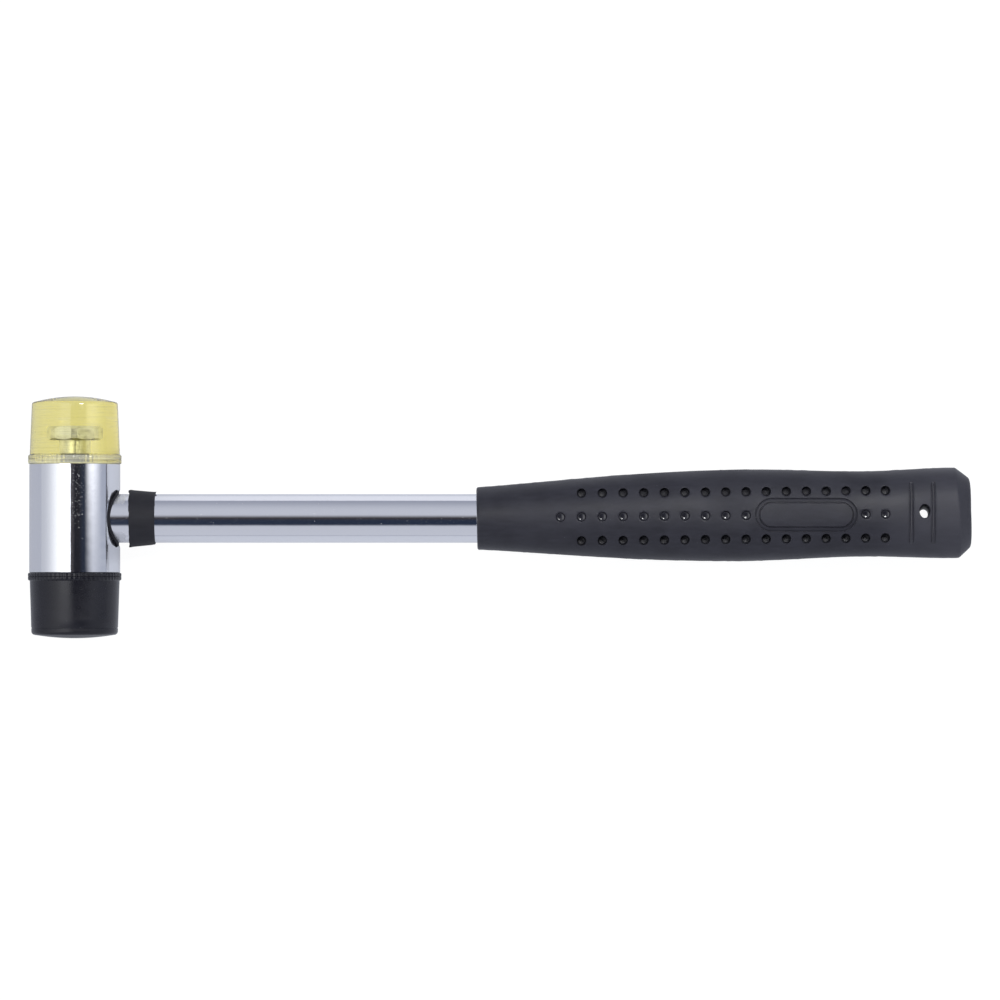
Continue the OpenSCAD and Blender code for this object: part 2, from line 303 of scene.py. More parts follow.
@dataclass(frozen=True)
class ChromePlate(Finish):
    """Bright plate over steel that was only roughly polished, with pits and fine lines."""

    tint: Colour = (0.80, 0.81, 0.84)
    pit: Colour = (0.46, 0.46, 0.48)
    dust: Colour = (0.74, 0.76, 0.80)
    gloss: float = 0.05
    line_scale: Sequence[float] = (0.05, 1.0, 1.0)
    dust_share: float = 0.15
    dust_from: float = 17.0
    smudge: float = 0.0
    smudge_across: Sequence[float] = (3.2, 4.4)
    smudge_along: Sequence[float] = (-102.4, -103.4)

    def shade(self, graph: Graph) -> dict[str, Value]:
        """Mixes pits, lines, a faint waviness, dust on the upper side and a smudge by the head.

        Args:
            graph: The material's node tree.

        Returns:
            The surface.
        """
        at = graph.place()
        wave = graph.cloud(at, 0.32, 1.5)
        lines = graph.cloud(graph.squeeze(at, self.line_scale), 3.0, 3.0)
        patch = graph.step(graph.cloud(at, 0.11, 3.0), 0.46, 0.60)
        pits = graph.specks(at, scale=1.15, size=0.16, share=0.35) * patch
        level = graph.axis(at, "Z")
        upper = graph.step(level, self.dust_from, self.dust_from + 4.0)
        drift = graph.step(graph.cloud(at, 0.07, 2.0), 0.38, 0.58)
        fine = graph.specks(at, scale=2.9, size=0.24, share=self.dust_share)
        coarse = graph.specks(at, scale=1.7, size=0.14, share=0.5 * self.dust_share)
        dust = graph.maths("MAXIMUM", 0.45 * fine, coarse) * upper * (0.2 + 0.8 * drift)
        plate = graph.blend(0.6 * pits, self.tint, self.pit)
        height = wave + 0.05 * lines - 0.30 * pits
        along = graph.axis(at, "X")
        across = graph.axis(at, "Y")
        flank = graph.step(abs(across - HEAD_Y), *self.smudge_across)
        smudge = self.smudge * flank * graph.step(along, *self.smudge_along)
        return {"Surface": graph.add("ShaderNodeBsdfPrincipled", {
            "Base Color": graph.blend(dust, plate, self.dust),
            "Metallic": 1.0 - dust,
            "Roughness": self.gloss + 0.04 * lines + 0.42 * pits + 0.5 * dust + smudge,
            "Normal": graph.bump(height, 0.012),
        })}


@dataclass(frozen=True)
class ClearPlastic(Finish):
    """Clear yellow moulding plastic, glossy, a little scuffed, with painted shade on its upper side
    towards the handle.
    """

    tint: Colour = (0.955, 0.95, 0.90)
    depth_tint: Colour = (0.87, 0.80, 0.04)
    depth: float = 54.0
    gloss: float = 0.04
    rim: Sequence[float] = (17.4, 16.6)
    frost: Colour = (0.90, 0.89, 0.72)
    # Painted shade: the colour, the start along the handle and the height of a darker patch on the
    # upper side.
    stain_and_painted_shade: Colour = (0.70, 0.655, 0.39)
    painted_shade_from: Sequence[float] = (-110.6, -106.2)
    painted_shade_above: Sequence[float] = (12.0, 14.0)
    refraction: float = 1.47
    relief: float = 0.03

    def shade(self, graph: Graph) -> dict[str, Value]:
        """Mixes fine moulding rings, scuffs, the colour of the depth, painted shade towards the handle
        and a rim that is rubbed dull.

        Args:
            graph: The material's node tree.

        Returns:
            The surface and the volume.
        """
        at = graph.place()
        rings = graph.cloud(graph.squeeze(at, (0.02, 1.0, 0.02)), 1.3, 3.0)
        flow = graph.cloud(at, 0.16, 2.0)
        scuff = graph.step(graph.cloud(graph.squeeze(at, (1.0, 0.3, 1.0)), 1.6, 5.0), 0.62, 0.78)
        height = 0.6 * flow + 0.6 * rings + 0.1 * scuff
        normal = graph.bump(height, self.relief)
        # Painted shade: the upper side towards the handle is darkened in colour.
        upper = graph.step(graph.axis(at, "Z"), *self.painted_shade_above)
        painted_shade_side = graph.step(graph.axis(at, "X"), *self.painted_shade_from) * upper
        clear = graph.add("ShaderNodeBsdfPrincipled", {
            "Base Color": graph.blend(painted_shade_side, self.tint, self.stain_and_painted_shade),
            "Roughness": self.gloss + 0.10 * scuff + 0.03 * rings,
            "Transmission Weight": 1.0,
            "IOR": self.refraction,
            "Normal": normal,
        })
        dull = graph.add("ShaderNodeBsdfPrincipled", {
            "Base Color": self.frost, "Roughness": 0.5, "Normal": normal})
        rubbed = graph.step(graph.axis(at, "Y"), *self.rim) * graph.step(rings, 0.25, 0.75)
        drawn = graph.cloud(graph.squeeze(at, (0.05, 1.0, 0.05)), 2.6, 3.0)
        streak = graph.step(drawn, 0.50, 0.72) * graph.step(flow, 0.35, 0.60)
        surface = graph.mix(graph.maths("MAXIMUM", 0.5 * rubbed, 0.16 * streak), clear, dull)
        colour = {"Color": self.depth_tint, "Density": self.depth}
        return {"Surface": surface, "Volume": graph.add("ShaderNodeVolumeAbsorption", colour)}


@dataclass(frozen=True)
class MouldedRubber(Finish):
    """Dark rubber from a mould: fine grain, soft mottling, a little dust."""

    dark: Colour = (0.017, 0.017, 0.0232)
    light: Colour = (0.0275, 0.0275, 0.0368)
    dust: Colour = (0.16, 0.16, 0.17)
    gloss: float = 0.48
    grain: float = 0.010
    dusty: float = 0.5
    haze: float = 0.10
    shine: float = 0.28
    # Painted light: the end towards the butt is lightened in colour.
    painted_light: float = 0.0
    painted_light_from: Sequence[float] = (95.0, 129.0)
    bloomed: Colour = (0.055, 0.055, 0.068)
    painted_light_colour: Colour = (0.075, 0.075, 0.09)

    def shade(self, graph: Graph) -> dict[str, Value]:
        """Mixes grain, mottling, bloom, painted light on the end towards the butt and dust.

        Args:
            graph: The material's node tree.

        Returns:
            The surface.
        """
        at = graph.place()
        mottle = graph.cloud(at, 0.12, 5.0)
        bloom = graph.step(graph.cloud(at, 0.055, 3.0), 0.40, 0.72)
        grain = graph.cloud(at, 5.5, 3.0)
        rub = graph.cloud(graph.squeeze(at, (0.25, 1.0, 1.0)), 0.9, 5.0)
        lint = graph.specks(at, scale=0.55, size=0.10, share=0.35) * graph.step(rub, 0.52, 0.60)
        tone = graph.step(0.55 * mottle + 0.45 * rub, 0.30, 0.72)
        body = graph.blend(tone, self.dark, self.light)
        hazed = graph.blend(self.haze * bloom, body, self.bloomed)
        # Painted light: lightens the colour towards the butt.
        end = self.painted_light * graph.step(graph.axis(at, "X"), *self.painted_light_from)
        body_with_painted_light = graph.blend(end, hazed, self.painted_light_colour)
        height = grain + 0.8 * rub + 0.9 * lint
        return {"Surface": graph.add("ShaderNodeBsdfPrincipled", {
            "Base Color": graph.blend(self.dusty * lint, body_with_painted_light, self.dust),
            "Roughness": self.gloss + 0.14 * bloom + 0.10 * (rub - 0.5),
            "Specular IOR Level": self.shine,
            "Normal": graph.bump(height, self.grain),
        })}


@dataclass(frozen=True)
class PlatedSteel(Finish):
    """Plain or zinc plated steel with turning marks round the head's axis."""

    tint: Colour = (0.86, 0.87, 0.85)
    stain_and_painted_shade: Colour = (0.58, 0.58, 0.55)
    gloss: float = 0.28
    marks: float = 0.006
    # Painted shade: steel nearer the head's middle than these depths is darkened.
    painted_shade_depths: Sequence[float] = (17.6, 16.8)
    painted_shade_amount: float = 0.8
    painted_shade_colour: Colour = (0.10, 0.10, 0.09)

    def shade(self, graph: Graph) -> dict[str, Value]:
        """Mixes fine turning marks, blotches, dull spots and painted shade on the steel in and beside
        the head.

        Args:
            graph: The material's node tree.

        Returns:
            The surface.
        """
        at = graph.place()
        turned = graph.cloud(graph.squeeze(at, (0.15, 2.2, 0.15)), 2.4, 4.0)
        blotch = graph.step(graph.cloud(at, 0.5, 4.0), 0.45, 0.75)
        spots = graph.specks(at, scale=1.6, size=0.22, share=0.4)
        wear = graph.maths("MAXIMUM", 0.6 * blotch, 0.8 * spots)
        # Painted shade, darkening the steel in and beside the head.
        depth = abs(graph.axis(at, "Y") - HEAD_Y)
        painted_shade_mask = self.painted_shade_amount * graph.step(depth, *self.painted_shade_depths)
        worn = graph.blend(wear, self.tint, self.stain_and_painted_shade)
        return {"Surface": graph.add("ShaderNodeBsdfPrincipled", {
            "Base Color": graph.blend(painted_shade_mask, worn, self.painted_shade_colour),
            "Metallic": 1.0,
            "Roughness": self.gloss + 0.16 * wear + 0.10 * turned,
            "Normal": graph.bump(turned - 0.4 * spots, self.marks),
        })}


@dataclass(frozen=True)
class Paper(Finish):
    """Bench paper that the camera sees as white, and that mirrors see duller, with painted light and
    shade.
    """

    matt: Colour = (0.82, 0.82, 0.83)
    shaded: Colour = (0.12, 0.12, 0.12)
    shaded_through: Colour = (0.05, 0.05, 0.05)
    fibre_dark: Colour = (0.62, 0.64, 0.70)
    fibre_light: Colour = (0.66, 0.68, 0.74)
    # Painted light behind the hammer and painted shade by the head and beyond the butt, for mirrors.
    painted_light_behind: Colour = (0.82, 0.83, 0.88)
    painted_shade_by_head: Colour = (0.50, 0.515, 0.57)
    far_left: Colour = (0.56, 0.58, 0.64)
    far_right: Colour = (0.40, 0.42, 0.50)
    painted_shade_beyond_butt: Colour = (0.07, 0.07, 0.09)

    def shade(self, graph: Graph) -> dict[str, Value]:
        """Mixes the painted reflection that mirrors show by place, and what the camera and clear
        pieces see.

        Args:
            graph: The material's node tree.

        Returns:
            The surface.
        """
        at = graph.place()
        # Painted reflection: what mirrors see of the paper is lighter behind the hammer, and darker by
        # the head, beyond the butt and far away.
        along, across = (graph.axis(at, axis) for axis in "XY")
        near = graph.blend(graph.cloud(at, 0.8, 3.0), self.fibre_dark, self.fibre_light)
        near = graph.blend(graph.step(across, 18.0, 30.0), near, self.painted_light_behind)
        near = graph.blend(graph.step(along, -90.0, -125.0), near, self.painted_shade_by_head)
        away = graph.blend(graph.step(along, -400.0, 0.0), self.far_left, self.far_right)
        reach = graph.add("ShaderNodeVectorMath", {"Vector": at}, "Value", operation="LENGTH")
        painted_reflection = graph.blend(graph.step(reach, 150.0, 700.0), near, away)
        beyond = graph.step(along, 120.0, 240.0) * graph.step(across, -14.0, 8.0)
        painted_reflection = graph.blend(0.8 * beyond, painted_reflection, self.painted_shade_beyond_butt)
        mirrored = graph.ray("Glossy")
        tone = graph.blend(mirrored, self.matt, graph.blend(0.5, (0.0, 0.0, 0.0), painted_reflection))
        matt = graph.add("ShaderNodeBsdfDiffuse", {"Color": tone})
        # The paper glows in mirrors with its painted reflection.
        glow = graph.add("ShaderNodeEmission", {"Color": painted_reflection, "Strength": 0.55 * mirrored})
        through = graph.ray("Transmission")
        white = graph.add("ShaderNodeEmission", {"Strength": 0.95 - 0.05 * through})
        grey = graph.blend(through, self.shaded, self.shaded_through)
        shaded = graph.add("ShaderNodeBsdfDiffuse", {"Color": grey})
        seen = graph.maths("MAXIMUM", graph.ray("Camera"), through)
        return {"Surface": graph.mix(seen, graph.join(matt, glow), graph.join(white, shaded))}


CHROME_HEAD = ChromePlate("chrome_head", "chrome_plate", line_scale=(1.0, 0.05, 1.0),
                          dust_share=0.7, dust_from=20.5)
CHROME_TUBE = ChromePlate("chrome_tube", "chrome_plate", smudge=0.35)
CLEAR_YELLOW = ClearPlastic("yellow_plastic", "clear_yellow")
FACE_RUBBER = MouldedRubber(
    "hard_rubber", "face_rubber", (0.006, 0.006, 0.010), (0.010, 0.010, 0.0155), gloss=0.24,
    haze=0.05, shine=0.38)
SEAL_RUBBER = MouldedRubber(
    "soft_rubber", "seal_rubber", (0.008, 0.008, 0.0112), (0.015, 0.015, 0.020), gloss=0.50)
# The grip carries painted light towards its butt.
GRIP_RUBBER = MouldedRubber("sleeve_rubber", "grip_rubber", gloss=0.44, painted_light=0.35)
PIN_RUBBER = MouldedRubber(
    "pin_rubber", "grip_rubber", gloss=0.09, grain=0.002, dusty=0.2, haze=0.02, shine=0.5)
PLAIN_STEEL = PlatedSteel(
    "turned_steel", "plain_steel", (0.52, 0.53, 0.55), (0.32, 0.32, 0.33), gloss=0.34, painted_shade_amount=0.25)
BOLT_STEEL = PlatedSteel("zinc_steel", "bolt_steel", (0.92, 0.93, 0.90), gloss=0.25, marks=0.003)
BENCH_PAPER = Paper("bench_paper", "bench_paper")


class Bench:
    """Modelling moves that the pieces share."""

    @staticmethod
    def clear() -> None:
        """Leaves edit mode and deselects everything."""
        if bpy.context.mode != "OBJECT":
            bpy.ops.object.mode_set(mode="OBJECT")
        bpy.ops.object.select_all(action="DESELECT")

    @staticmethod
    def take(piece: Piece) -> None:
        """Selects one piece alone and makes it the active one.

        Args:
            piece: The piece.
        """
        Bench.clear()
        piece.select_set(True)
        bpy.context.view_layer.objects.active = piece

    @staticmethod
    def open(piece: Piece, kind: str) -> bmesh.types.BMesh:
        """Opens a piece in edit mode with nothing selected.

        Args:
            piece: The piece.
            kind: What is to be selected, points or edges.

        Returns:
            Its mesh.
        """
        Bench.take(piece)
        bpy.ops.object.mode_set(mode="EDIT")
        bpy.ops.mesh.select_mode(type=kind)
        bpy.ops.mesh.select_all(action="DESELECT")
        return bmesh.from_edit_mesh(piece.data)

    @staticmethod
    def pick(piece: Piece, wanted: Callable[[Vector], bool]) -> None:
        """Selects points in edit mode.

        Args:
            piece: The piece to open.
            wanted: Test of a point's place in millimetres.
        """
        mesh = Bench.open(piece, "VERT")
        for vertex in mesh.verts:
            vertex.select_set(wanted(vertex.co / MM))
        mesh.select_flush(True)
        bmesh.update_edit_mesh(piece.data)

    @staticmethod
    def pick_edges(piece: Piece, wanted: Callable[[bmesh.types.BMEdge], bool]) -> None:
        """Selects edges in edit mode.

        Args:
            piece: The piece to open.
            wanted: Test of an edge.
        """
        for edge in Bench.open(piece, "EDGE").edges:
            edge.select_set(wanted(edge))
        bmesh.update_edit_mesh(piece.data)

    @staticmethod
    def close() -> None:
        """Merges doubles, turns all faces outwards by the sign of the volume and leaves edit mode."""
        bpy.ops.mesh.select_all(action="SELECT")
        bpy.ops.mesh.remove_doubles(threshold=MM * 1e-4)
        bpy.ops.mesh.normals_make_consistent(inside=False)
        if bmesh.from_edit_mesh(bpy.context.active_object.data).calc_volume(signed=True) < 0:
            bpy.ops.mesh.flip_normals()
        bpy.ops.object.mode_set(mode="OBJECT")

    @staticmethod
    def trace(name: str, outline: Outline) -> Piece:
        """Draws an outline from a single point, and leaves it open and selected.

        Args:
            name: The new piece's name.
            outline: Radius and height of each point.

        Returns:
            The piece, in edit mode.
        """
        Bench.clear()
        bpy.ops.mesh.primitive_plane_add(size=MM)
        piece = bpy.context.active_object
        piece.name = name
        bpy.ops.object.mode_set(mode="EDIT")
        bpy.ops.mesh.select_mode(type="VERT")
        bpy.ops.mesh.select_all(action="SELECT")
        bpy.ops.mesh.merge(type="CENTER")
        start = outline[0]
        bpy.ops.transform.translate(value=(start[0] * MM, 0, start[1] * MM))
        for (r, z), (next_r, next_z) in zip(outline, outline[1:]):
            move = ((next_r - r) * MM, 0, (next_z - z) * MM)
            bpy.ops.mesh.extrude_region_move(TRANSFORM_OT_translate={"value": move})
        bpy.ops.mesh.select_all(action="SELECT")
        return piece

    @staticmethod
    def lathe(name: str, outline: Outline, steps: int) -> Piece:
        """Turns an outline about +Z.

        Args:
            name: The new piece's name.
            outline: Radius and height of each point.
            steps: Steps of the full turn.

        Returns:
            The closed piece, at the origin.
        """
        piece = Bench.trace(name, outline)
        bpy.ops.mesh.spin(
            steps=steps, angle=math.tau, center=(0, 0, 0), axis=(0, 0, 1), use_auto_merge=True)
        Bench.close()
        return piece

    @staticmethod
    def push(piece: Piece, place: Callable[[Vector], Vector]) -> None:
        """Moves every vertex.

        Args:
            piece: The piece to shape.
            place: Gives the new place for an old one, both in millimetres.
        """
        for vertex in piece.data.vertices:
            vertex.co = place(vertex.co / MM) * MM
        piece.data.update()

    @staticmethod
    def stretch(piece: Piece, axis: int, reach: float, cuts: int) -> None:
        """Draws the two halves of a piece apart and divides what lies between them.

        Args:
            piece: The piece, round its middle.
            axis: Index of the axis that the halves move along.
            reach: How far each half moves.
            cuts: Cuts in the straight part between them.
        """
        for side in (-1, 1):
            Bench.pick(piece, lambda co, side=side: co[axis] * side > (1e-4 if side > 0 else -1e-4))
            move = [0.0, 0.0, 0.0]
            move[axis] = side * reach * MM
            bpy.ops.transform.translate(value=move)
        Bench.pick_edges(piece, lambda edge: edge.calc_length() > reach * MM)
        bpy.ops.mesh.subdivide(number_cuts=cuts)
        bpy.ops.object.mode_set(mode="OBJECT")

    @staticmethod
    def lay(piece: Piece, lie: Lie, at: Sequence[float]) -> None:
        """Turns a piece into its direction, moves it to its place, and puts both into its mesh.

        Args:
            piece: The piece, turned about +Z at the origin.
            lie: Its direction.
            at: Its place.
        """
        Bench.take(piece)
        piece.rotation_euler = lie.value
        piece.location = Vector(at) * MM
        bpy.ops.object.transform_apply(location=True, rotation=True, scale=True)

    @staticmethod
    def carve(piece: Piece, tool: Piece, cut: Cut = Cut.AWAY) -> None:
        """Uses up one piece as a tool on another.

        Args:
            piece: The piece to change.
            tool: The tool, which is removed.
            cut: What the tool does.
        """
        Bench.take(piece)
        bpy.ops.object.modifier_add(type="BOOLEAN")
        change = piece.modifiers[-1]
        change.operation = cut.value
        change.solver = "MANIFOLD"
        change.object = tool
        bpy.ops.object.modifier_apply(modifier=change.name)
        bpy.data.objects.remove(tool, do_unlink=True)

    @staticmethod
    def gather(name: str, pieces: Sequence[Piece]) -> Piece:
        """Joins pieces into one mesh with all faces outwards.

        Args:
            name: The name of the whole.
            pieces: The pieces, which are used up.

        Returns:
            The whole.
        """
        Bench.take(pieces[0])
        for piece in pieces[1:]:
            piece.select_set(True)
        bpy.ops.object.join()
        whole = bpy.context.active_object
        whole.name = name
        bpy.ops.object.mode_set(mode="EDIT")
        bpy.ops.mesh.select_all(action="SELECT")
        bpy.ops.mesh.normals_make_consistent(inside=False)
        bpy.ops.object.mode_set(mode="OBJECT")
        return whole

    @staticmethod
    def twin(piece: Piece) -> Piece:
        """Copies a piece with a mesh of its own.

        Args:
            piece: The piece to copy.

        Returns:
            The copy.
        """
        Bench.take(piece)
        bpy.ops.object.duplicate()
        return bpy.context.active_object

    @staticmethod
    def fit(piece: Piece, node: str, body: str, finish: Finish, angle: float) -> None:
        """Smooths, dresses and mounts a finished piece.

        Args:
            piece: The piece.
            node: The node that it stands for.
            body: The body that it rides on.
            finish: Its finish.
            angle: Largest angle, in degrees, between faces that shade as one.
        """
        Bench.take(piece)
        bpy.ops.object.shade_smooth_by_angle(angle=math.radians(angle))
        piece.data.name = piece.name
        finish.dress(piece)
        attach(piece, body)
        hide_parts(node)
        LOG.info("%s: %d faces, stands for %s", piece.name, len(piece.data.polygons), node)


@dataclass
class Head:
    """The chromed barrel of the head with what is pressed into it."""

    axis_x: float = -116.975
    axis_y: float = HEAD_Y
    axis_z: float = 12.85
    radius: float = 12.5
    bore: float = 10.5
    half_len: float = 15.0
    bevel: float = 0.15
    lip_len: float = 0.2
    socket: float = 8.1
    steps: int = 360

    @property
    def centre(self) -> tuple[float, float, float]:
        """Where the axes of head and handle cross."""
        return (self.axis_x, self.axis_y, self.axis_z)

    def build(self) -> None:
        """Turns the barrel, cuts its side hole and dresses the pieces inside it."""
        r = self.radius
        end = self.half_len
        b = self.bevel
        lip = [(r - b, end), (r, end - b), (r, end - b - self.lip_len)]
        outline = [(self.bore, -end), *[(x, -z) for x, z in lip], *lip[::-1], (self.bore, end),
                   (self.bore, -end)]
        barrel = Bench.lathe("chrome_barrel", outline, self.steps)
        Bench.lay(barrel, Lie.TO_YELLOW, self.centre)
        drill = Bench.lathe(
            "drill", [(0, 0), (self.socket, 0), (self.socket, 2 * r), (0, 2 * r)], 128)
        Bench.lay(drill, Lie.ALONG_HANDLE, self.centre)
        Bench.carve(barrel, drill)
        Bench.fit(barrel, "head_barrel", "hammer", CHROME_HEAD, angle=25)
        self.dress_inside()

    def dress_inside(self) -> None:
        """Puts finishes on the pieces that keep their own solids."""
        kept = {"yellow_end_plug": PLAIN_STEEL, "black_end_plug": PLAIN_STEEL,
                "yellow_lock_washer": PLAIN_STEEL, "black_lock_washer": PLAIN_STEEL,
                "socket_grommet": SEAL_RUBBER}
        for name, finish in kept.items():
            finish.dress(frame["nodes"][name])
            LOG.info("%s: kept, dressed in %s", name, finish.name)


class FaceKind(Enum):
    """The two faces, by the word that their nodes and bodies start with."""

    YELLOW = "yellow"
    BLACK = "black"


@dataclass
class SoftFace:
    """A striking face with a ribbed rim round its foot and a crowned top."""

    name: str
    kind: FaceKind
    head: Head
    length: float
    rim_len: float
    inset: float
    draft: float
    crown: float
    edge: float
    finish: Finish
    lift: float = 0.03
    rim_proud: float = 0.35
    teeth: int = 60
    tooth: float = 0.10
    rib_reach: float = 0.21
    groove_share: float = 0.52
    bead: float = 0.0

    @property
    def body(self) -> str:
        """The body that the face and its bolt ride on."""
        return f"{self.kind.value}_face_set"

    @property
    def lie(self) -> Lie:
        """The direction that the face points in."""
        return Lie.TO_YELLOW if self.kind is FaceKind.YELLOW else Lie.TO_BLACK

    @property
    def foot(self) -> tuple[float, float, float]:
        """The middle of the mouth of the head that the face stands on."""
        side = 1 if self.kind is FaceKind.YELLOW else -1
        return (self.head.axis_x, self.head.axis_y + side * self.head.half_len, self.head.axis_z)

    def outline(self) -> Outline:
        """Draws the half section.

        Returns:
            Its points, from the middle of the foot to the middle of the top.
        """
        rim = self.head.radius + self.rim_proud
        side = self.head.radius - self.inset
        tip = side - self.draft
        flat = tip - self.edge
        top = self.length - self.crown
        ball = (flat * flat + self.crown * self.crown) / (2 * self.crown)
        lean = math.asin(flat / ball)
        middle = self.rim_len * self.groove_share
        line = [(0, self.lift), (rim - 0.2, self.lift), (rim, self.lift + 0.2),
                (rim, middle - 0.1), (rim - 0.1, middle), (rim, middle + 0.1),
                (rim, self.rim_len - 0.35), (rim - 0.12, self.rim_len - 0.12),
                (side + 0.1, self.rim_len), (side, self.rim_len + 0.12)]
        rise = top - self.edge - self.rim_len
        for share in (0.15, 0.35, 0.55, 0.75):
            line.append((side - self.draft * share, self.rim_len + rise * share))
        if self.bead:
            at = top - self.edge - self.bead
            line += [(tip + 0.05, at - 0.3), (tip - 0.06, at - 0.1), (tip - 0.06, at + 0.1),
                     (tip + 0.02, at + 0.18)]
        turn = math.pi / 2 - lean
        for i in range(9):
            a = turn * i / 8
            line.append((flat + self.edge * math.cos(a), top - self.edge + self.edge * math.sin(a)))
        for i in range(1, 13):
            a = lean * (1 - i / 12)
            line.append((ball * math.sin(a), self.length - ball + ball * math.cos(a)))
        return line

    def build(self) -> None:
        """Turns the face and presses the ribs into its rim."""
        face = Bench.lathe(self.name, self.outline(), self.teeth * 6)
        rim = self.head.radius + self.rim_proud
        pitch = math.tau / self.teeth

        def in_valley(co: Vector) -> bool:
            """Tells whether a point of the rim lies between two ribs."""
            turn = (math.atan2(co.y, co.x) % pitch) / pitch
            return co.xy.length > rim - self.rib_reach and 0.4 < turn < 0.9

        Bench.pick(face, in_valley)
        narrow = (rim - self.tooth) / rim
        bpy.ops.transform.resize(value=(narrow, narrow, 1), center_override=(0, 0, 0))
        bpy.ops.object.mode_set(mode="OBJECT")
        Bench.lay(face, self.lie, self.foot)
        Bench.fit(face, f"{self.kind.value}_face", self.body, self.finish, angle=32)


@dataclass
class FaceBolt:
    """A hex bolt moulded into a face, with a rolled right-hand thread."""

    face: SoftFace
    across: float = 9.8
    head_len: float = 4.0
    head_bevel: float = 1.2
    foot_bevel: float = 0.9
    seat: float = 6.3
    shank: float = 16.0
    crest: float = 2.96
    root: float = 2.45
    pitch: float = 1.0
    turn: float = 3.0
    corner_flat: float = 0.8
    end_share: float = 0.475
    thread_top: float = 1.2
    finish: Finish = BOLT_STEEL

    def hex_head(self) -> Piece:
        """Makes the bevelled hex head, with its corners worn flat.

        Returns:
            The head, with the foot of the face at zero.
        """
        corner = self.across / math.sqrt(3)
        Bench.clear()
        middle = (0, 0, (self.seat + self.head_len / 2) * MM)
        bpy.ops.mesh.primitive_cylinder_add(
            vertices=6, radius=corner * MM, depth=self.head_len * MM, location=middle,
            rotation=(0, 0, math.radians(self.turn)))
        head = bpy.context.active_object
        bpy.ops.object.transform_apply(location=True, rotation=True, scale=True)
        Bench.pick_edges(head, lambda edge: abs(edge.verts[0].co.z - edge.verts[1].co.z) > MM)
        bpy.ops.mesh.bevel(offset=self.corner_flat * MM, segments=1, affect="EDGES")
        bpy.ops.object.mode_set(mode="OBJECT")
        top = self.seat + self.head_len
        end = self.across * self.end_share
        cone = Bench.lathe("cone", [
            (0, self.seat), (end, self.seat), (corner, self.seat + self.foot_bevel),
            (corner, top - self.head_bevel), (end, top), (0, top)], 72)
        Bench.carve(head, cone, Cut.COMMON)
        return head

    def threaded_shank(self) -> Piece:
        """Winds the thread and closes its two ends.

        Returns:
            The shank, with the foot of the face at zero.
        """
        p = self.pitch
        top = self.thread_top
        flank = self.root + 0.05
        shank = Bench.trace("shank", [
            (self.root, top), (flank, top + 0.12 * p), (self.crest, top + 0.44 * p),
            (self.crest, top + 0.56 * p), (flank, top + 0.88 * p), (self.root, top + p)])
        bpy.ops.mesh.screw(
            steps=24, turns=int(self.shank - self.seat + top - 0.5), center=(0, 0, 0),
            axis=(0, 0, -1))
        Bench.close()
        low = self.seat - self.shank
        middle = (low + top) / 2 * MM
        for end in (low, top + 2 * p):

            def at_end(edge: bmesh.types.BMEdge, below: bool = end == low) -> bool:
                """Tells whether an edge bounds the open end that is worked on."""
                height = (edge.verts[0].co.z + edge.verts[1].co.z) / 2
                return edge.is_boundary and (height < middle) == below

            Bench.pick_edges(shank, at_end)
            bpy.ops.mesh.extrude_region_move()
            bpy.ops.transform.resize(value=(1, 1, 0), center_override=(0, 0, end * MM))
            bpy.ops.mesh.edge_face_add()
            Bench.close()
        return shank

    def build(self) -> None:
        """Joins head, plain neck and thread, and lays the bolt into its face."""
        bolt = self.hex_head()
        low = self.thread_top + 0.9
        neck = Bench.lathe("neck", [
            (0, low), (self.root, low), (self.crest, low + 0.5), (self.crest, self.seat + 0.5),
            (0, self.seat + 0.5)], 48)
        Bench.carve(bolt, neck, Cut.JOIN)
        Bench.carve(bolt, self.threaded_shank(), Cut.JOIN)
        colour = self.face.kind.value
        bolt.name = f"{colour}_hex_bolt"
        Bench.lay(bolt, self.face.lie, self.face.foot)
        Bench.fit(bolt, f"{colour}_face_bolt", self.face.body, self.finish, angle=28)


